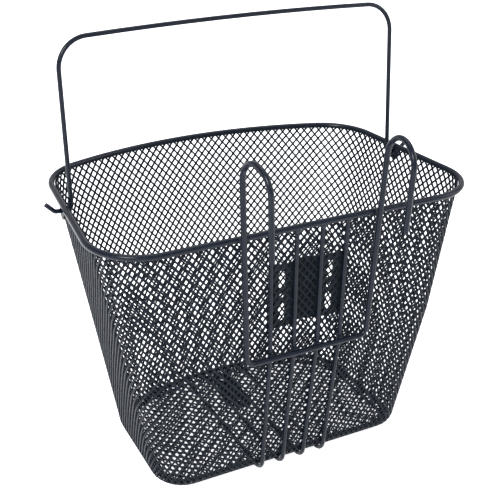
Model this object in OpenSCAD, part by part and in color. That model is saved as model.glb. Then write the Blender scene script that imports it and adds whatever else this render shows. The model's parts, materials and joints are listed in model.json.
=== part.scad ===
// Handlebar basket: expanded-mesh walls and floor on a wire frame, two hooks that
// hang over a handlebar at the back, and a carrying handle that swings on the rim.
// Millimetres, +Z up. The hooks are on the -Y side, the bowed front is on the +Y side.

/* [Rim] */
// Width of the rim between its wire centres, at the widest place
rim_w = 354; // [280:1:420]
// Depth of the rim between its wire centres, back to front
rim_depth = 231; // [180:1:280]
// Height of the rim wire's centre above the ground
rim_z = 250; // [180:1:320]
// Diameter of the rim wire
rim_d = 5.5; // [4:0.1:8]
// Centre-line radius of the two back corners of the rim
rim_back_r = 46; // [30:1:60]
// Centre-line radius of the two front corners of the rim
rim_front_r = 52; // [35:1:65]
// How much each side of the rim closes in toward the front, in degrees
rim_lean = 6; // [2:0.5:10]
// Half of the angle the bowed front of the rim turns through, in degrees
rim_bow = 19; // [10:0.5:25]

/* [Base] */
// Outside width of the wall just above the bottom rounding
base_w = 256; // [200:1:320]
// Outside depth of the wall just above the bottom rounding
base_depth = 169; // [130:1:220]
// Radius of the two back corners of the base
base_back_r = 31; // [22:1:45]
// Radius of the two front corners of the base
base_front_r = 52; // [35:1:60]
// How much each side of the base closes in toward the front, in degrees
base_lean = 1.5; // [0.5:0.5:6]
// Half of the angle the bowed front of the base turns through, in degrees
base_bow = 18; // [10:0.5:25]
// How far the base's back edge stands in front of the rim's back wire
base_back_y = 16; // [6:0.5:30]
// Radius of the rounding from the wall to the floor
base_round = 10; // [6:0.5:16]
// Width of the flat edge that the wall turns in under the floor
flange_w = 4; // [2:0.5:8]

/* [Mesh] */
// Thickness of the mesh sheet
mesh_t = 1.2; // [0.8:0.1:2]
// Height of the line where the upright back wall starts to lean in
knee_z = 132; // [90:1:170]
// How far the mesh edge stands up above the rim wire's centre
mesh_edge = 1; // [0:0.1:2]

/* [Wires] */
// Diameter of the base ring wire
ring_d = 4; // [3:0.1:6]
// Diameter of the four upright back wires
wire_d = 4; // [3:0.1:6]
// Distance of the two outer wires from the middle, at the rim
outer_top_x = 36.5; // [30:0.5:50]
// Distance of the two outer wires from the middle, under the floor
outer_foot_x = 32; // [25:0.5:45]
// Distance of the two inner wires from the middle, at the rim
inner_top_x = 12.25; // [9:0.25:20]
// Distance of the two inner wires from the middle, under the floor
inner_foot_x = 10.7; // [8:0.1:18]
// Distance from the rim's back wire to the front ends of the wires
wire_end_y = 176; // [140:1:200]

/* [Hooks] */
// Diameter of the hook frame's wire
hook_d = 5; // [4:0.1:7]
// Height of the hook frame's lower bar
bar_z = 133; // [110:0.5:180]
// Distance of the bar's corners from the middle
bar_x = 59; // [45:0.5:75]
// Distance of the hook arches from the middle
hook_x = 66.5; // [50:0.5:85]
// Bend radius where the bar turns up into the hooks
bar_bend_r = 8; // [6:0.5:15]
// Height where the uprights end and the arches begin
arch_z = 302; // [280:1:340]
// Centre-line radius of the arches
arch_r = 20.25; // [18:0.25:35]
// Height of the cut ends of the hooks
hook_end_z = 249; // [230:1:290]
// Turn of each arch away from straight back, in degrees
arch_splay = 4; // [0:0.1:5]

/* [Handle] */
// Diameter of the handle wire
handle_d = 4; // [3:0.1:6]
// Distance of the handle pivot from the rim's back wire
pivot_y = 126; // [100:1:150]
// Distance of the handle's legs from the middle
leg_x = 161; // [120:0.5:180]
// Height of the middle of the handle bar, with the handle upright
bar_rise = 146.4; // [110:0.5:200]
// Centre-line radius of the handle's two upper corners
handle_r = 26; // [15:1:50]
// Half of the angle the slightly bowed handle bar turns through, in degrees
handle_bow = 2.2; // [0.5:0.1:6]
// Forward lean of the handle as it rests, in degrees
handle_lean = 5; // [0:0.5:20]
// Bend radius of the hooked ends of the handle
end_bend_r = 4; // [3:0.5:8]
// Straight length of each hooked end where it passes under the rim
end_run = 9; // [8:0.5:16]
// Length of the turned-up tip of each hooked end
tip_len = 9; // [4:0.5:16]

/* [Ears] */
// Width of the ears that carry the handle
ear_w = 16; // [12:0.5:24]
// Thickness of the ears
ear_t = 2; // [1.2:0.1:3]
// Play of the handle wire in the ear's hole, on the radius
ear_play = 0.06; // [0.02:0.01:0.1]

/* [Back plate] */
// Width of the back plate
plate_w = 72; // [60:1:90]
// Height of the back plate
plate_h = 59; // [50:1:80]
// Height of the middle of the back plate, where its two round holes are
plate_z = 187.25; // [160:0.25:210]
// Thickness of the back plate and the floor plate
plate_t = 1.2; // [0.8:0.1:2]
// Distance between the two hole columns
column_gap = 46; // [36:0.5:56]
// Depth of the recess between the two columns
recess = 4; // [2:0.5:8]
// Width of the recess at its floor
recess_w = 14; // [8:0.5:20]
// Diameter of the two round holes
hole_d = 5; // [4:0.1:6]
// Width of the four upright slots
slot_w = 6.4; // [5:0.1:8]
// Length of the four upright slots
slot_len = 17; // [12:0.5:22]
// Distance between the upper and the lower slot of a column
slot_gap = 31; // [26:0.5:36]

/* [Floor plate] */
// Width of the floor plate, between the two inner wires
floor_plate_w = 17.2; // [10:0.1:24]
// Length of the floor plate
floor_plate_len = 64; // [50:1:80]
// Distance from the rim's back wire to the plate's rear edge
floor_plate_y = 111; // [90:1:130]
// Height of the two ribs along the floor plate
rib_h = 1; // [0.5:0.1:1.2]
// Diameter of the three holes in the floor plate
floor_hole_d = 5; // [4:0.1:6]
// Distance between neighbouring holes in the floor plate
floor_hole_gap = 20; // [15:0.5:25]

/* [Hidden] */
// Play left between parts that lie against each other
gap = 0.05;
// Play between the back wires and the mesh they run along
wire_gap = 0.15;
// Margin taken off a weld bead where it hugs a wire
weld_play = 0.02;
coat = [0.11, 0.13, 0.16];
plate_coat = [0.08, 0.09, 0.12];
round_facets = 48;
$fn = round_facets;
// Facets in a full turn for a bend, finer where it turns only a little
function bend_facets(turn) = max(round_facets, min(250, 2400 / turn));

// outline = [width, depth, back radius, front radius, side lean, front bow, back y]
rim_line = [rim_w, rim_depth, rim_back_r, rim_front_r, rim_lean, rim_bow, 0];
base_line = [base_w, base_depth, base_back_r, base_front_r, base_lean, base_bow, base_back_y];
mesh_top_inset = rim_d / 2 + gap;
flange_z = wire_d + gap;
floor_z = flange_z + mesh_t + gap;
round_z = flange_z + base_round;
// The base ring rests in the rounded corner, just clear of the wall on both sides
ring_inset = 7.6;
ring_lift = 1.2;
ring_z = flange_z + mesh_t + ring_d / 2 + ring_lift;
// The floor sheet stops just short of the wall's rounding
floor_clear = 0.6;
floor_inset = base_round + floor_clear;

// The parts are drawn with the rim's back wire at y = 0 and moved to the middle at the end.
// Back wires: against the mesh, upright above the knee and leaning in below it
wire_y = mesh_top_inset - wire_gap - wire_d / 2;
wire_foot_y = base_back_y - wire_gap - wire_d / 2;
lean_in = atan((wire_foot_y - wire_y) / (knee_z - round_z));
foot_bend_r = base_round + wire_d / 2 + 2 * gap;
foot_bend_z = wire_d / 2 + foot_bend_r * (1 - sin(lean_in));
foot_bend_y = wire_foot_y + (round_z - foot_bend_z) * tan(lean_in);
knee_bend_r = 30;
knee_tangent = knee_bend_r * tan(lean_in / 2);
wire_top_z = rim_z - rim_d / 2 - gap;
// Hook frame: the bar crosses in front of the back wires, the uprights touch the rim
bar_y = wire_y - (wire_d + hook_d) / 2 - gap;
upright_y = -(rim_d + hook_d) / 2 - gap;
frame_tilt = atan((bar_y - upright_y) / (rim_z - bar_z));
flare = atan((hook_x - bar_x) / (arch_z - bar_z));
hook_back_y = bar_y - (arch_z - bar_z) * sin(frame_tilt)
    - arch_r * cos(arch_splay) * (1 + cos(frame_tilt)) - hook_d / 2;
back_y = -(rim_depth + rim_d / 2 + hook_back_y) / 2;
// Handle: pivot line just below the rim wire
pivot_drop = 5.3;
pivot_z = rim_z - pivot_drop;
handle_half_bar = leg_x - handle_r * (1 - sin(handle_bow));
handle_bar_r = handle_half_bar / sin(handle_bow);
handle_sag = handle_bar_r * (1 - cos(handle_bow));
leg_len = bar_rise - end_bend_r - handle_r * cos(handle_bow) - handle_sag;
tip_turn = 45;

// ---- Outlines ----
// Unit vector to the right of a heading, where heading 0 runs along +X
function right_of(h) = [sin(h), -cos(h)];
function side_heading(s) = 90 + s[4];
function bow_heading(s) = 180 - s[5];
function inset_line(s, d) =
    [s[0] - 2 * d, s[1] - 2 * d, s[2] - d, s[3] - d, s[4], s[5], s[6] + d];
function corners_depth(s) = s[2] * (1 - cos(side_heading(s)))
    + s[3] * (cos(side_heading(s)) - cos(bow_heading(s)));
function corners_width(s) = s[0] / 2 - s[2] + s[2] * sin(side_heading(s))
    + s[3] * (sin(bow_heading(s)) - sin(side_heading(s)));
function side_len(s) =
    (s[1] - corners_depth(s) - corners_width(s) * tan(s[5] / 2))
    / (sin(side_heading(s)) + cos(side_heading(s)) * tan(s[5] / 2));
function bow_r(s) = (corners_width(s) + side_len(s) * cos(side_heading(s))) / sin(s[5]);
function back_centre(s) = [s[0] / 2 - s[2], s[6] + s[2]];
function side_start(s) = back_centre(s) + s[2] * right_of(side_heading(s));
function side_end(s) =
    side_start(s) + side_len(s) * [cos(side_heading(s)), sin(side_heading(s))];
function front_centre(s) = side_end(s) - s[3] * right_of(side_heading(s));
function bow_centre(s) = [0, s[6] + s[1] - bow_r(s)];

// Points round an outline, from the right end of the back, anticlockwise
back_steps = 9;
front_steps = 9;
bow_steps = 9;
function right_half(s) = concat(
    [for (i = [0:back_steps])
        back_centre(s) + s[2] * right_of(side_heading(s) * i / back_steps)],
    [for (i = [0:front_steps])
        front_centre(s) + s[3] * right_of(side_heading(s)
            + (bow_heading(s) - side_heading(s)) * i / front_steps)],
    [for (i = [1:bow_steps])
        bow_centre(s) + bow_r(s) * right_of(bow_heading(s) + s[5] * i / bow_steps)]);
function mirrored(h) = [for (i = [len(h) - 2:-1:0]) [-h[i][0], h[i][1]]];
function ring_of(s) = concat(right_half(s), mirrored(right_half(s)));

// ---- Wall surface ----
function raised(ring, z) = [for (p = ring) [p[0], p[1], z]];
mesh_top_z = rim_z + mesh_edge;
// Rings between rim and base; near the back the knee ring stays upright under the rim
knee_share = (mesh_top_z - knee_z) / (mesh_top_z - round_z);
knee_reach = 90;
function knee_ring(inset) = let (
        top = ring_of(inset_line(rim_line, mesh_top_inset + inset)),
        low = ring_of(inset_line(base_line, inset)),
        pull = knee_share * (base_back_y - mesh_top_inset))
    [for (i = [0:len(top) - 1]) let (
            p = top[i] + knee_share * (low[i] - top[i]),
            back = max(0, 1 - (top[i][1] - top[0][1]) / knee_reach))
        [p[0], p[1] - pull * back, knee_z]];
function low_ring(inset, r, a) = raised(
    ring_of(inset_line(base_line, inset + r * (1 - cos(a)))), round_z - r * sin(a));
round_angles = [0, 30, 60, 90];
flange_inset = base_round + flange_w;
wall_rings = concat(
    [raised(ring_of(inset_line(rim_line, mesh_top_inset)), mesh_top_z)],
    [knee_ring(0)],
    [for (a = round_angles) low_ring(0, base_round, a)],
    [raised(ring_of(inset_line(base_line, flange_inset)), flange_z)],
    [raised(ring_of(inset_line(base_line, flange_inset)), flange_z + mesh_t)],
    [for (a = round_angles) low_ring(mesh_t, base_round - mesh_t, 90 - a)],
    [knee_ring(mesh_t)],
    [raised(ring_of(inset_line(rim_line, mesh_top_inset + mesh_t)), mesh_top_z)]);
ring_size = len(wall_rings[0]);
ring_count = len(wall_rings);

module wall_shell() {
    polyhedron(
        points = [for (r = wall_rings) for (p = r) p],
        faces = [for (j = [0:ring_count - 1]) for (i = [0:ring_size - 1]) for (half = [0, 1])
            let (
                a = j * ring_size + i,
                b = j * ring_size + (i + 1) % ring_size,
                c = ((j + 1) % ring_count) * ring_size + (i + 1) % ring_size,
                d = ((j + 1) % ring_count) * ring_size + i)
            half == 0 ? [a, b, c] : [a, c, d]]);
}

// ---- Wire helpers ----
// Bent wire along +Z; each step is [straight, bend radius, bend angle, roll before the bend]
// and bends toward +X. A barely larger ball joins each straight to the bend beside it.
joint_gap = 0.04;
joint_bulge = 0.03;
module wire_path(d, steps, i = 0) {
    step = steps[i];
    is_last = i == len(steps) - 1;
    from = i > 0 ? joint_gap : 0;
    to = is_last ? step[0] : step[0] - joint_gap;
    if (step[0] > 0) translate([0, 0, from]) cylinder(d = d, h = to - from);
    if (!is_last) translate([0, 0, step[0]]) rotate([0, 0, step[3]]) {
        trim = joint_gap / step[1] * 180 / PI;
        if (i > 0 || step[0] > 0) sphere(d = d + 2 * joint_bulge);
        translate([step[1], 0, 0]) rotate([90, 0, 180]) rotate([0, 0, trim])
            rotate_extrude(angle = step[2] - 2 * trim, $fn = bend_facets(step[2]))
                translate([step[1], 0]) circle(d = d, $fn = round_facets);
        translate([step[1] * (1 - cos(step[2])), 0, step[1] * sin(step[2])])
            rotate([0, step[2], 0]) {
                if (steps[i + 1][0] > 0) sphere(d = d + 2 * joint_bulge);
                wire_path(d, steps, i + 1);
            }
    }
}

// Straight side of a wire loop
module loop_side(s, d) {
    translate([side_start(s)[0], side_start(s)[1], 0])
        rotate([0, 0, side_heading(s)]) rotate([0, 90, 0]) cylinder(d = d, h = side_len(s));
}

// Straight back of a wire loop
module loop_back(s, d) {
    translate([-back_centre(s)[0], s[6], 0]) rotate([0, 90, 0])
        cylinder(d = d, h = 2 * back_centre(s)[0]);
}

// Wire loop that follows an outline, with a hairline butt joint in the middle of the front
module wire_loop(s, d) {
    seam = asin(gap / bow_r(s));
    front_turn = bow_heading(s) - side_heading(s);
    translate([0, bow_centre(s)[1], 0]) rotate([0, 0, seam]) translate([0, bow_r(s), 0])
        rotate([0, 0, -90]) rotate([90, 0, 0]) wire_path(d, [
            [0, bow_r(s), s[5] - seam, 0],
            [0, s[3], front_turn, 0],
            [side_len(s), s[2], side_heading(s), 0],
            [2 * back_centre(s)[0], s[2], side_heading(s), 0],
            [side_len(s), s[3], front_turn, 0],
            [0, bow_r(s), s[5], 0],
            [0, 0, 0, 0]]);
}

// Everything is drawn from the rim's back wire and moved into the middle here.
module placed() {
    translate([0, back_y, 0]) children();
}

// ---- Pieces ----
module rim_wire() {
    color(coat) placed() translate([0, 0, rim_z]) wire_loop(rim_line, rim_d);
}

module base_ring() {
    color(coat) placed() translate([0, 0, ring_z])
        wire_loop(inset_line(base_line, ring_inset), ring_d);
}

// Upright slot outline
module slot_shape(w, len) {
    square([w, len - w], center = true);
    for (s = [-1, 1]) translate([0, s * (len - w) / 2]) circle(d = w);
}

// Holes of the back plate as a flat pattern in X and Z, widened by extra on each side
module plate_pattern(extra) {
    for (s = [-1, 1]) translate([s * column_gap / 2, plate_z]) {
        circle(d = hole_d + 2 * extra);
        for (u = [-1, 1]) translate([0, u * slot_gap / 2])
            slot_shape(slot_w + 2 * extra, slot_len + 2 * extra);
    }
}

window_extra = 0.6;
handle_window_d = 8;
module wall_mesh() {
    color(coat) placed() difference() {
        wall_shell();
        translate([0, mesh_top_inset + 2 * mesh_t, 0]) rotate([90, 0, 0])
            linear_extrude(height = 3 * mesh_t) plate_pattern(window_extra);
        for (m = [0, 1]) mirror([m, 0, 0])
            translate([leg_x, pivot_y, pivot_z]) rotate([0, 90, 0])
                cylinder(d = handle_window_d, h = 2 * end_run);
    }
}

floor_window_d = 8;
module floor_mesh() {
    color(coat) placed() translate([0, 0, floor_z])
        linear_extrude(height = mesh_t) difference() {
            polygon(ring_of(inset_line(base_line, floor_inset)));
            floor_holes(floor_window_d);
        }
}

// Back wire number k: tops and feet spread apart, bent under the floor
wire_tops = [-outer_top_x, -inner_top_x, inner_top_x, outer_top_x];
wire_feet = [-outer_foot_x, -inner_foot_x, inner_foot_x, outer_foot_x];
module wire_run(k, d) {
    fan = atan((wire_tops[k] - wire_feet[k]) / (wire_top_z - wire_d / 2));
    lower = (knee_z - foot_bend_z) / cos(lean_in) - knee_tangent;
    upper = (wire_top_z - wire_d / 2) / cos(fan) - (knee_z - wire_d / 2) - knee_tangent;
    foot_run = wire_end_y - foot_bend_y - foot_bend_r * cos(lean_in);
    translate([wire_feet[k], wire_end_y, wire_d / 2]) rotate([0, fan, 0])
        rotate([90, 0, 0]) rotate([0, 0, 90])
            wire_path(d, [
                [foot_run, foot_bend_r, 90 - lean_in, 0],
                [lower, knee_bend_r, lean_in, 0],
                [upper, 0, 0, 0]]);
}

module back_wire_1() {
    color(coat) placed() wire_run(0, wire_d);
}

module back_wire_2() {
    color(coat) placed() wire_run(1, wire_d);
}

module back_wire_3() {
    color(coat) placed() wire_run(2, wire_d);
}

module back_wire_4() {
    color(coat) placed() wire_run(3, wire_d);
}

// Hook frame: bar, two flared uprights and two arches, in one plane that tilts back
module hook_run(d) {
    half_bar = bar_x - bar_bend_r * tan((90 - flare) / 2);
    upright = (arch_z - bar_z) / cos(flare) - bar_bend_r * tan((90 - flare) / 2);
    translate([0, bar_y, bar_z]) rotate([frame_tilt, 0, 0])
        for (m = [0, 1]) mirror([m, 0, 0]) rotate([0, 90, 0]) rotate([0, 0, 180])
            wire_path(d, [
                [half_bar, bar_bend_r, 90 - flare, 0],
                [upright, arch_r, 180, 90 - arch_splay],
                [arch_z - hook_end_z, 0, 0, 0]]);
}

module hook_frame() {
    color(coat) placed() hook_run(hook_d);
}

// Cross-section of the back plate: two flats with a recessed middle
module plate_section() {
    half = plate_w / 2;
    slope = recess;
    ledge = recess_w / 2;
    polygon([
        [-half, 0], [-ledge - slope, 0], [-ledge, recess], [ledge, recess],
        [ledge + slope, 0], [half, 0], [half, plate_t],
        [ledge + slope + plate_t / 2, plate_t], [ledge + plate_t / 2, recess + plate_t],
        [-ledge - plate_t / 2, recess + plate_t], [-ledge - slope - plate_t / 2, plate_t],
        [-half, plate_t]]);
}

plate_y = mesh_top_inset + mesh_t + gap;
module back_plate() {
    color(plate_coat) placed() difference() {
        translate([0, plate_y, plate_z - plate_h / 2])
            linear_extrude(height = plate_h) plate_section();
        translate([0, plate_y + 2 * plate_t, 0]) rotate([90, 0, 0])
            linear_extrude(height = 3 * plate_t) plate_pattern(0);
    }
}

// Holes along the floor plate as a flat pattern
module floor_holes(d) {
    for (i = [-1:1])
        translate([0, floor_plate_y + floor_plate_len / 2 + i * floor_hole_gap]) circle(d = d);
}

rib_w = 1.4;
rib_x = 4.2;
rib_len = 56;
module floor_plate() {
    top = flange_z - gap;
    color(plate_coat) placed() {
        translate([0, 0, top - plate_t]) linear_extrude(height = plate_t) difference() {
            translate([-floor_plate_w / 2, floor_plate_y])
                square([floor_plate_w, floor_plate_len]);
            floor_holes(floor_hole_d);
        }
        for (s = [-1, 1])
            translate([s * rib_x - rib_w / 2, floor_plate_y, top]) cube([rib_w, rib_len, rib_h]);
    }
}

// The handle is one wire from tip to tip, in one plane that leans forward at the pivot
module handle() {
    tip_x = leg_x + end_bend_r * (1 + sin(tip_turn)) + end_run + tip_len * cos(tip_turn);
    tip_z = end_bend_r * (1 - cos(tip_turn)) + tip_len * sin(tip_turn);
    color(coat) placed() translate([0, pivot_y, pivot_z]) rotate([-handle_lean, 0, 0])
        translate([tip_x, 0, tip_z]) rotate([0, -90 - tip_turn, 0]) wire_path(handle_d, [
            [tip_len, end_bend_r, tip_turn, 0],
            [end_run, end_bend_r, 90, 0],
            [leg_len, handle_r, 90 - handle_bow, 180],
            [0, handle_bar_r, 2 * handle_bow, 0],
            [0, handle_r, 90 - handle_bow, 0],
            [leg_len, end_bend_r, 90, 180],
            [end_run, end_bend_r, tip_turn, 0],
            [tip_len, 0, 0, 0]]);
}

// Ear on the right side, square to the rim's side, with the pivot hole along X
ear_x = side_start(rim_line)[0] - (pivot_y - side_start(rim_line)[1]) * tan(rim_lean);
module ear_shape() {
    difference() {
        translate([ear_x, pivot_y, pivot_z]) rotate([0, 0, rim_lean])
            rotate([90, 0, 90]) linear_extrude(height = ear_t, center = true) {
                intersection() {
                    circle(d = ear_w);
                    translate([-ear_w / 2, -ear_w]) square([ear_w, ear_w]);
                }
                translate([-ear_w / 2, 0]) square([ear_w, rim_z - pivot_z - 1]);
            }
        translate([0, 0, rim_z]) loop_side(rim_line, rim_d + 2 * weld_play);
        translate([leg_x, pivot_y, pivot_z]) rotate([0, 90, 0])
            cylinder(d = handle_d + 2 * ear_play, h = 2 * end_run);
    }
}

module ear_left() {
    color(plate_coat) placed() mirror([1, 0, 0]) ear_shape();
}

module ear_right() {
    color(plate_coat) placed() ear_shape();
}

// Straight stretches that the weld beads hug
module upper_wire(k, d) {
    fan = atan((wire_tops[k] - wire_feet[k]) / (wire_top_z - wire_d / 2));
    translate([wire_feet[k], wire_y, wire_d / 2]) rotate([0, fan, 0])
        cylinder(d = d, h = rim_z);
}

module hook_upright(d) {
    translate([0, bar_y, bar_z]) rotate([frame_tilt, 0, 0]) translate([bar_x, 0, 0])
        rotate([0, flare, 0]) cylinder(d = d, h = arch_z - bar_z);
}

// Weld beads where the back wires end under the rim
rim_bead_r = 3.2;
module rim_welds() {
    color(coat) placed() for (k = [0:3]) difference() {
        translate([wire_tops[k], wire_y, wire_top_z]) sphere(r = rim_bead_r);
        upper_wire(k, wire_d + 2 * weld_play);
        translate([0, 0, rim_z]) loop_back(rim_line, rim_d + 2 * weld_play);
        translate([wire_tops[k] - rim_d, mesh_top_inset - gap, wire_top_z - rim_d])
            cube(2 * rim_d);
    }
}

// Weld beads where the hook frame crosses the back wires
bar_bead_r = 3.4;
bar_bead_shift = 0.2;
module bar_welds() {
    share = (bar_z - wire_d / 2) / (wire_top_z - wire_d / 2);
    color(coat) placed() for (k = [0:3]) difference() {
        translate([wire_feet[k] + share * (wire_tops[k] - wire_feet[k]),
            wire_y - (wire_d + gap) / 2 + bar_bead_shift, bar_z]) sphere(r = bar_bead_r);
        upper_wire(k, wire_d + 2 * weld_play);
        translate([-bar_x, bar_y, bar_z]) rotate([0, 90, 0])
            cylinder(d = hook_d + 2 * weld_play, h = 2 * bar_x);
    }
}

// Weld beads where the hook uprights cross the rim
cross_bead_r = 3.6;
module hook_welds() {
    cross_x = bar_x + (rim_z - bar_z) * tan(flare);
    color(coat) placed() for (m = [0, 1]) mirror([m, 0, 0]) difference() {
        translate([cross_x, -(rim_d + gap) / 2, rim_z]) sphere(r = cross_bead_r);
        hook_upright(hook_d + 2 * weld_play);
        translate([0, 0, rim_z]) loop_back(rim_line, rim_d + 2 * weld_play);
    }
}

rim_wire();
base_ring();
wall_mesh();
floor_mesh();
back_wire_1();
back_wire_2();
back_wire_3();
back_wire_4();
hook_frame();
back_plate();
floor_plate();
handle();
ear_left();
ear_right();
rim_welds();
bar_welds();
hook_welds();
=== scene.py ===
# %% [markdown]
# # A wire handlebar basket
#
# The basket is a welded wire frame with walls of expanded metal: a steel sheet that is slit
# and pulled open until it is a net of small diamonds. The wires, the hooks, the plates and the
# handle already have their exact shape in the CAD frame. This lesson loads that frame, weaves
# the two mesh sheets that the CAD only holds as plain skins, and gives every piece its black
# powder coat.

# %% Load the frame
import json
import math

import bmesh
import bpy
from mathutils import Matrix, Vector


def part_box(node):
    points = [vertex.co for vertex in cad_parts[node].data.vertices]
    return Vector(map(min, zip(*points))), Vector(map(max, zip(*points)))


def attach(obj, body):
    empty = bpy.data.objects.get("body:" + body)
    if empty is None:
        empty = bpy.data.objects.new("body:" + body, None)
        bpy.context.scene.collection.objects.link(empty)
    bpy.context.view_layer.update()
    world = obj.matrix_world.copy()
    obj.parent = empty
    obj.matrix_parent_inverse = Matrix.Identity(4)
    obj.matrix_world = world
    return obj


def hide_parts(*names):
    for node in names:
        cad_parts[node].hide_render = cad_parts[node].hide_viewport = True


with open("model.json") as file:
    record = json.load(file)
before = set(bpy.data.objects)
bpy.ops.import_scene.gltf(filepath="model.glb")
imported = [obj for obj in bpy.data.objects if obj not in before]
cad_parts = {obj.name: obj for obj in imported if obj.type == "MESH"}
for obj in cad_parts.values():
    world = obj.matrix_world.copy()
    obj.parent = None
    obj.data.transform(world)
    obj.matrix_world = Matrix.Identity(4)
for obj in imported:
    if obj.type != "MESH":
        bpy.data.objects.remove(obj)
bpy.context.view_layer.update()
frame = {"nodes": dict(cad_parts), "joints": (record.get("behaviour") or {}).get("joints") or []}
nodes = frame["nodes"]
print("nodes", sorted(nodes))

# %% [markdown]
# ## The sizes that the mesh needs
#
# A mesh sheet follows two outlines: the rim at the top and the base at the bottom. Each is a
# straight back, two rounded corners, two sides that close in a little, and a bowed front. The
# numbers are the same few that drive the CAD, in metres. The back line is read from the rim
# wire's own box, so the sheet can't slip away from the frame.

# %% Sizes
MM = 0.001
RIM_WIRE = 5.5 * MM
SHEET = 1.2 * MM
rim_low, rim_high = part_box("rim_wire")
rim_back = rim_low[1] + RIM_WIRE / 2
rim_height = (rim_low[2] + rim_high[2]) / 2


def outline(width, depth, back_r, front_r, lean, bow, back_y):
    """One outline of the basket, seen from above; angles in degrees."""
    return dict(width=width * MM, depth=depth * MM, back_r=back_r * MM, front_r=front_r * MM,
                lean=math.radians(lean), bow=math.radians(bow), back_y=rim_back + back_y * MM)


RIM = outline(354, 231, 46, 52, 6, 19, 0)
BASE = outline(256, 169, 31, 52, 1.5, 18, 16)
print("rim centre height", round(rim_height, 4), "back line", round(rim_back, 4))

# %% [markdown]
# ## Walking along an outline
#
# To place a diamond we must know where we are after walking some way round the basket. A small
# turtle does that: it goes straight, turns along an arc, and goes straight again. An inset
# keeps the corner centres and makes every radius smaller, just as a sheet lies inside a wire.


# %% Turtle
def inset(shape, d):
    """The same outline, moved inwards by d."""
    return dict(shape, width=shape["width"] - 2 * d, depth=shape["depth"] - 2 * d,
                back_r=shape["back_r"] - d, front_r=shape["front_r"] - d,
                back_y=shape["back_y"] + d)


def half_parts(shape):
    """(length, turn) of each stretch from the middle of the back to the middle of the front."""
    r1, r2, bow = shape["back_r"], shape["front_r"], shape["bow"]
    side_turn = math.pi / 2 + shape["lean"]
    bow_turn = math.pi - bow
    rise = math.tan(bow / 2)
    deep = r1 * (1 - math.cos(side_turn)) + r2 * (math.cos(side_turn) - math.cos(bow_turn))
    wide = (shape["width"] / 2 - r1 + r1 * math.sin(side_turn)
            + r2 * (math.sin(bow_turn) - math.sin(side_turn)))
    side = ((shape["depth"] - deep - wide * rise)
            / (math.sin(side_turn) + math.cos(side_turn) * rise))
    bow_r = (wide + side * math.cos(side_turn)) / math.sin(bow)
    return [(shape["width"] / 2 - r1, 0), (r1 * side_turn, side_turn), (side, 0),
            (r2 * (bow_turn - side_turn), bow_turn - side_turn), (bow_r * bow, bow)]


def half_length(shape):
    return sum(length for length, turn in half_parts(shape))


def walk(shape, share):
    """(x, y) after a share, 0 to 1, of the way round, from the middle of the back."""
    mirror = share > 0.5
    left = 2 * (1 - share if mirror else share) * half_length(shape)
    x, y, heading = 0.0, shape["back_y"], 0.0
    for length, turn in half_parts(shape):
        step = min(left, length)
        if turn == 0:
            x += step * math.cos(heading)
            y += step * math.sin(heading)
        else:
            radius = length / turn
            after = heading + step / radius
            x += radius * (math.sin(after) - math.sin(heading))
            y += radius * (math.cos(heading) - math.cos(after))
            heading = after
        left -= step
        if left <= 0:
            break
    return (-x if mirror else x), y


print("walk round the rim", round(2 * half_length(RIM), 3), "m, round the base",
      round(2 * half_length(BASE), 3), "m")

# %% [markdown]
# ## The surface of the wall
#
# Down the wall the sheet runs straight from the rim to the base, rounds under and ends in a
# short flat edge. Only the back does something else: it hangs upright as far as a knee and
# leans in below it, where the basket clears the front wheel.

# %% Wall surface
PLAY = 0.05 * MM
EDGE_RISE = 0.6 * MM
CORNER_ROUND = 10 * MM
TOP_INSET = RIM_WIRE / 2 + PLAY + SHEET / 2
WALL_TOP = rim_height + EDGE_RISE
ROUND_R = CORNER_ROUND - SHEET / 2
ROUND_TOP = 14.05 * MM
FLAT_EDGE = 4 * MM
KNEE = 132 * MM
KNEE_REACH = 90 * MM
wall_top = inset(RIM, TOP_INSET)
wall_foot = inset(BASE, SHEET / 2)
slant = math.hypot(WALL_TOP - ROUND_TOP, (RIM["width"] - BASE["width"]) / 2)
wall_drop = slant + ROUND_R * math.pi / 2 + FLAT_EDGE
knee_share = (WALL_TOP - KNEE) / (WALL_TOP - ROUND_TOP)
knee_pull = knee_share * (wall_foot["back_y"] - wall_top["back_y"])


def wall_point(round_share, drop):
    """A point on the middle of the wall sheet, a distance drop below its top edge."""
    if drop > slant:
        angle = min((drop - slant) / ROUND_R, math.pi / 2)
        flat = max(0.0, drop - slant - ROUND_R * math.pi / 2)
        x, y = walk(inset(wall_foot, ROUND_R * (1 - math.cos(angle)) + flat), round_share)
        return Vector((x, y, ROUND_TOP - ROUND_R * math.sin(angle)))
    share = drop / slant
    top = Vector(walk(wall_top, round_share))
    foot = Vector(walk(wall_foot, round_share))
    place = top.lerp(foot, share)
    near_back = max(0.0, 1 - (top.y - wall_top["back_y"]) / KNEE_REACH)
    tent = share / knee_share if share < knee_share else (1 - share) / (1 - knee_share)
    return Vector((place.x, place.y - knee_pull * near_back * tent,
                   WALL_TOP + share * (ROUND_TOP - WALL_TOP)))


print("wall sheet drops", round(wall_drop, 3), "m from rim to flat edge")

# %% [markdown]
# ## Expanding the metal
#
# A net of diamonds could be drawn strand by strand, but there is a quicker way that is close to
# how the real sheet is made. Start from a square grid, poke every square so that it gets a
# centre, then dissolve the old grid lines: what is left are diamonds standing on their points.
# Inset each diamond by half a strand and throw the middle away, and the strands remain. Last,
# each hole's top point is pushed in and its bottom point out, because slit metal twists as it
# opens, and the net gets its thickness.

# %% Diamond net
STRAND = 1.7 * MM
THICK = 0.85 * MM
TWIST = 0.32 * MM


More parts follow.
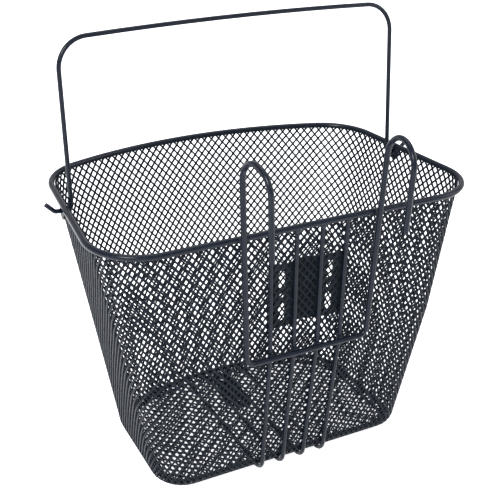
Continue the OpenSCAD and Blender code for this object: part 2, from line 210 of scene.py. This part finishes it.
def diamonds(columns, rows):
    """A flat net of diamonds over the unit square, as a bmesh; grid corners are marked."""
    bm = bmesh.new()
    bmesh.ops.create_grid(bm, x_segments=columns, y_segments=rows, size=0.5)
    mark = bm.verts.layers.int.new("grid corner")
    for v in bm.verts:
        v[mark] = 1
    for v in bmesh.ops.poke(bm, faces=bm.faces[:])["verts"]:
        v[mark] = 0
    return bm, mark


def open_diamonds(bm, mark):
    """Dissolves the grid lines between marked corners, so that only diamonds remain."""
    lines = [e for e in bm.edges
             if e.verts[0][mark] and e.verts[1][mark] and len(e.link_faces) == 2]
    bmesh.ops.dissolve_edges(bm, edges=lines, use_verts=False)
    return len(bm.faces)


def pull_open(bm, twist):
    """Turns every diamond into its four strands and gives the net its thickness."""
    bmesh.ops.recalc_face_normals(bm, faces=bm.faces[:])
    holes = bm.faces[:]
    bmesh.ops.inset_individual(bm, faces=holes, thickness=STRAND / 2, use_even_offset=True)
    for hole in holes:
        upright = 1 - abs(hole.normal.z)
        ordered = sorted(hole.verts, key=lambda v: v.co.z)
        ordered[-1].co -= hole.normal * twist * upright
        ordered[0].co += hole.normal * twist * upright
    bmesh.ops.delete(bm, geom=holes, context="FACES_ONLY")
    bm.normal_update()
    for v in bm.verts:
        v.co += v.normal * THICK / 2
    bmesh.ops.solidify(bm, geom=bm.faces[:], thickness=THICK)
    bmesh.ops.recalc_face_normals(bm, faces=bm.faces[:])


def finish_piece(bm, name):
    """A new object from the bmesh, linked to the scene."""
    mesh = bpy.data.meshes.new(name)
    bm.to_mesh(mesh)
    bm.free()
    piece = bpy.data.objects.new(name, mesh)
    bpy.context.scene.collection.objects.link(piece)
    mesh.calc_loop_triangles()
    print(name, len(mesh.loop_triangles), "triangles")
    return piece


# %% [markdown]
# ## The wall
#
# The sheet is wrapped once round the basket. The number of diamonds stays the same from top to
# bottom, so they get narrower toward the base, as the real ones do. The net is cut away where
# the back plate has its slots and where the handle's ends pass through.

# %% Wall net
COLUMNS = 132
ROWS = 30
SLOT_X = 23 * MM
SLOT_HALF_WIDTH = 4.4 * MM
SLOT_HALF_LENGTH = 8.2 * MM
SLOT_RISE = 15.5 * MM
PASS_RADIUS = 5.5 * MM
SEAM_REACH = 0.02 * MM
plate_low, plate_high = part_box("back_plate")
plate_middle = (plate_low[2] + plate_high[2]) / 2
pivot = Vector(frame["joints"][0]["pos_m"])


def cut_away(place):
    """True where the wall's net is cut: the plate's slots and the handle's passages."""
    off_pivot = math.hypot(place.y - pivot.y, place.z - pivot.z)
    if off_pivot < PASS_RADIUS:
        return True
    at_column = abs(abs(place.x) - SLOT_X) < SLOT_HALF_WIDTH and place.y < plate_high[1]
    along = abs(abs(place.z - plate_middle) - SLOT_RISE)
    return at_column and along < SLOT_HALF_LENGTH


def wall_net():
    bm, mark = diamonds(COLUMNS, ROWS)
    for v in bm.verts:
        v.co = wall_point((v.co.x + 0.5) % 1.0, (0.5 - v.co.y) * wall_drop)
    bmesh.ops.remove_doubles(bm, verts=bm.verts[:], dist=SEAM_REACH)
    count = open_diamonds(bm, mark)
    cut = [f for f in bm.faces if cut_away(f.calc_center_median())]
    bmesh.ops.delete(bm, geom=cut, context="FACES")
    pull_open(bm, TWIST)
    print("wall diamonds", count, "cut away", len(cut))
    return finish_piece(bm, "wall_net")


wall = wall_net()
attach(wall, "basket")
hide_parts("wall_mesh")

# %% [markdown]
# ## The floor
#
# The floor is a second sheet of the same net, cut to the outline of the base. Diamonds outside
# the outline are dropped, and the corners that still stick out are pulled back onto it, so the
# edge is clean where it meets the ring.

# %% Floor net
FLOOR_CELL_X = 10.5 * MM
FLOOR_CELL_Y = 8.6 * MM
EDGE_STEPS = 720
FLOOR_INSET = CORNER_ROUND + 0.6 * MM
floor_low, floor_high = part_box("floor_mesh")
floor_middle_y = (floor_low[1] + floor_high[1]) / 2
floor_edge = [Vector(walk(inset(BASE, FLOOR_INSET), i / EDGE_STEPS)) for i in range(EDGE_STEPS)]
edge_heart = Vector((0, floor_middle_y))


def to_edge(place):
    """The nearest point of the floor's edge, and whether the place lies outside it."""
    nearest = min(floor_edge, key=lambda e: (e - place).length_squared)
    outside = (place - edge_heart).length > (nearest - edge_heart).length
    return nearest, outside


def floor_net():
    columns = math.ceil((floor_high[0] - floor_low[0]) / FLOOR_CELL_X)
    rows = math.ceil((floor_high[1] - floor_low[1]) / FLOOR_CELL_Y)
    bm, mark = diamonds(columns, rows)
    for v in bm.verts:
        v.co = Vector((v.co.x * columns * FLOOR_CELL_X,
                       floor_middle_y + v.co.y * rows * FLOOR_CELL_Y, floor_high[2]))
    open_diamonds(bm, mark)
    far = [f for f in bm.faces if to_edge(f.calc_center_median().xy)[1]]
    bmesh.ops.delete(bm, geom=far, context="FACES")
    for v in bm.verts:
        nearest, outside = to_edge(v.co.xy)
        if outside:
            v.co.xy = nearest
    pull_open(bm, 0)
    shift = floor_high[2] - max(v.co.z for v in bm.verts)
    bmesh.ops.translate(bm, verts=bm.verts[:], vec=(0, 0, shift))
    return finish_piece(bm, "floor_net")


floor_sheet = floor_net()
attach(floor_sheet, "basket")
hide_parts("floor_mesh")

# %% [markdown]
# ## Black powder coat
#
# Powder coat is a baked paint. It is nearly black with a cool slate tint, has a very fine
# orange-peel texture and a satin shine that is a little uneven, because the powder lies thicker
# on edges and welds. One recipe serves all pieces: three noises in object space drive the
# colour, the roughness and the bump: broad clouds, a finer mottle and the grain of the peel.


# %% Powder coat recipe
CLOUD, MOTTLE, PEEL_GRAIN = 140, 420, 1800
NOISE_RANGE = (0.3, 0.7)
RAMP_ENDS = (0.35, 0.65)
PEEL_STRENGTH = 0.35


def noise(tree, coords, scale, detail):
    tex = tree.nodes.new("ShaderNodeTexNoise")
    tex.inputs["Scale"].default_value = scale
    tex.inputs["Detail"].default_value = detail
    tree.links.new(coords.outputs["Object"], tex.inputs["Vector"])
    return tex


def spread(tree, source, low, high):
    """Maps a noise to the range low to high."""
    span = tree.nodes.new("ShaderNodeMapRange")
    span.inputs["From Min"].default_value = NOISE_RANGE[0]
    span.inputs["From Max"].default_value = NOISE_RANGE[1]
    span.inputs["To Min"].default_value = low
    span.inputs["To Max"].default_value = high
    tree.links.new(source.outputs["Fac"], span.inputs["Value"])
    return span


def powder_coat(name, dark, light, rough, shine, peel):
    """A satin powder coat between two colours; rough is a pair, peel the bump height."""
    mat = bpy.data.materials.new(name)
    mat.use_nodes = True
    tree = mat.node_tree
    paint = tree.nodes["Principled BSDF"]
    coords = tree.nodes.new("ShaderNodeTexCoord")
    ramp = tree.nodes.new("ShaderNodeValToRGB")
    ramp.color_ramp.elements[0].position = RAMP_ENDS[0]
    ramp.color_ramp.elements[0].color = (*dark, 1)
    ramp.color_ramp.elements[1].position = RAMP_ENDS[1]
    ramp.color_ramp.elements[1].color = (*light, 1)
    tree.links.new(noise(tree, coords, CLOUD, 4).outputs["Fac"], ramp.inputs["Fac"])
    tree.links.new(ramp.outputs["Color"], paint.inputs["Base Color"])
    uneven = spread(tree, noise(tree, coords, MOTTLE, 3), *rough)
    tree.links.new(uneven.outputs["Result"], paint.inputs["Roughness"])
    bump = tree.nodes.new("ShaderNodeBump")
    bump.inputs["Strength"].default_value = PEEL_STRENGTH
    bump.inputs["Distance"].default_value = peel
    tree.links.new(noise(tree, coords, PEEL_GRAIN, 2).outputs["Fac"], bump.inputs["Height"])
    tree.links.new(bump.outputs["Normal"], paint.inputs["Normal"])
    paint.inputs["Specular IOR Level"].default_value = shine
    return mat


wire_coat = powder_coat("satin black powder coat on wire", (0.002, 0.004, 0.009),
                        (0.004, 0.007, 0.014), (0.2, 0.3), 0.19, 0.05 * MM)
net_coat = powder_coat("satin black powder coat on expanded metal", (0.004, 0.006, 0.010),
                       (0.008, 0.011, 0.017), (0.34, 0.5), 0.06, 0.04 * MM)
plate_coat = powder_coat("satin black powder coat on pressed plate", (0.006, 0.008, 0.010),
                         (0.012, 0.015, 0.018), (0.38, 0.5), 0.12, 0.04 * MM)
weld_coat = powder_coat("thick black powder coat over welds", (0.004, 0.006, 0.010),
                        (0.008, 0.011, 0.018), (0.28, 0.42), 0.25, 0.15 * MM)

# %% Coat every piece
COATS = {"back_plate": plate_coat, "floor_plate": plate_coat, "ear_left": plate_coat,
         "ear_right": plate_coat, "rim_welds": weld_coat, "bar_welds": weld_coat,
         "hook_welds": weld_coat}
for name, node in nodes.items():
    coat = COATS.get(name, wire_coat)
    if not node.material_slots:
        node.data.materials.append(coat)
    for slot in node.material_slots:
        slot.material = coat
for piece in (wall, floor_sheet):
    piece.data.materials.append(net_coat)
print("coated", len(nodes) + 2, "pieces")

# %% [markdown]
# ## Floor and light
#
# Black wire shows its round form only by what it reflects, so the studio is bright all round: a
# pale floor, a light sky and three large soft lamps. The floor glows a little, as painted light
# that fills the shade cast by the two layers of mesh, so the ground under them stays pale. The
# lamp on the left gives the long highlights on the rim and on the handle.

# %% Studio
FLOOR_HALF = 6.0
# Painted light: the floor glows, though it is no lamp, to fill the shade the basket casts on the
# ground.
FLOOR_GLOW_PAINTED_LIGHT = 0.8


def pale_floor():
    bm = bmesh.new()
    bmesh.ops.create_grid(bm, x_segments=1, y_segments=1, size=FLOOR_HALF)
    floor = finish_piece(bm, "studio_floor")
    mat = bpy.data.materials.new("pale studio floor with painted glow")
    mat.use_nodes = True
    tree = mat.node_tree
    coords = tree.nodes.new("ShaderNodeTexCoord")
    ramp = tree.nodes.new("ShaderNodeValToRGB")
    ramp.color_ramp.elements[0].color = (0.86, 0.87, 0.88, 1)
    ramp.color_ramp.elements[1].color = (0.9, 0.91, 0.92, 1)
    tree.links.new(noise(tree, coords, 3, 2).outputs["Fac"], ramp.inputs["Fac"])
    tree.links.new(ramp.outputs["Color"], tree.nodes["Principled BSDF"].inputs["Base Color"])
    paint = tree.nodes["Principled BSDF"]
    paint.inputs["Roughness"].default_value = 0.9
    # Painted light: an emission on the floor that lifts the basket's shadow on the ground.
    paint.inputs["Emission Color"].default_value = (0.97, 0.98, 1.0, 1)
    paint.inputs["Emission Strength"].default_value = FLOOR_GLOW_PAINTED_LIGHT
    floor.data.materials.append(mat)
    return floor


def soft_lamp(name, place, aim, size, watts):
    data = bpy.data.lights.new(name, "AREA")
    data.shape = "SQUARE"
    data.size = size
    data.energy = watts
    lamp = bpy.data.objects.new(name, data)
    bpy.context.scene.collection.objects.link(lamp)
    lamp.location = place
    lamp.rotation_euler = (Vector(aim) - Vector(place)).to_track_quat("-Z", "Y").to_euler()
    return lamp


pale_floor()
soft_lamp("left_lamp", (-1.6, -1.3, 1.7), (0, 0, 0.2), 0.8, 60)
soft_lamp("right_lamp", (1.8, -0.9, 1.3), (0, 0, 0.2), 1.2, 16)
soft_lamp("top_lamp", (0.2, 0.5, 2.4), (0, 0, 0.2), 1.8, 24)
world = bpy.data.worlds.new("pale studio")
world.use_nodes = True
sky = world.node_tree.nodes["Background"]
sky.inputs["Color"].default_value = (0.97, 0.98, 1.0, 1)
sky.inputs["Strength"].default_value = 0.85
bpy.context.scene.world = world
bpy.context.scene.view_settings.view_transform = "Standard"
print("studio ready")

# %% [markdown]
# ## Camera
#
# The basket is seen from its back, a little from the left and from above, from about a metre
# away. The position is worked out from a point in the middle of the basket, two angles and a
# distance, and a tiny roll levels the picture.

# %% Camera
AZIMUTH = math.radians(-27.9)
ELEVATION = math.radians(25.9)
ROLL = math.radians(0.9)
DISTANCE = 0.9606
target = Vector((0.0001, rim_back + 0.1097, 0.1816))
away = Vector((math.sin(AZIMUTH) * math.cos(ELEVATION),
               -math.cos(AZIMUTH) * math.cos(ELEVATION), math.sin(ELEVATION)))
camera_data = bpy.data.cameras.new("camera")
camera_data.sensor_width = 36
camera_data.lens = 74.48
camera_data.shift_x = 0.0044
camera_data.shift_y = -0.006
camera = bpy.data.objects.new("camera", camera_data)
bpy.context.scene.collection.objects.link(camera)
camera.location = target + away * DISTANCE
look = (-away).to_track_quat("-Z", "Y").to_matrix()
camera.rotation_euler = look.to_euler()
camera.rotation_euler.rotate_axis("Z", ROLL)
bpy.context.scene.camera = camera
print("camera at", [round(v, 3) for v in camera.location])
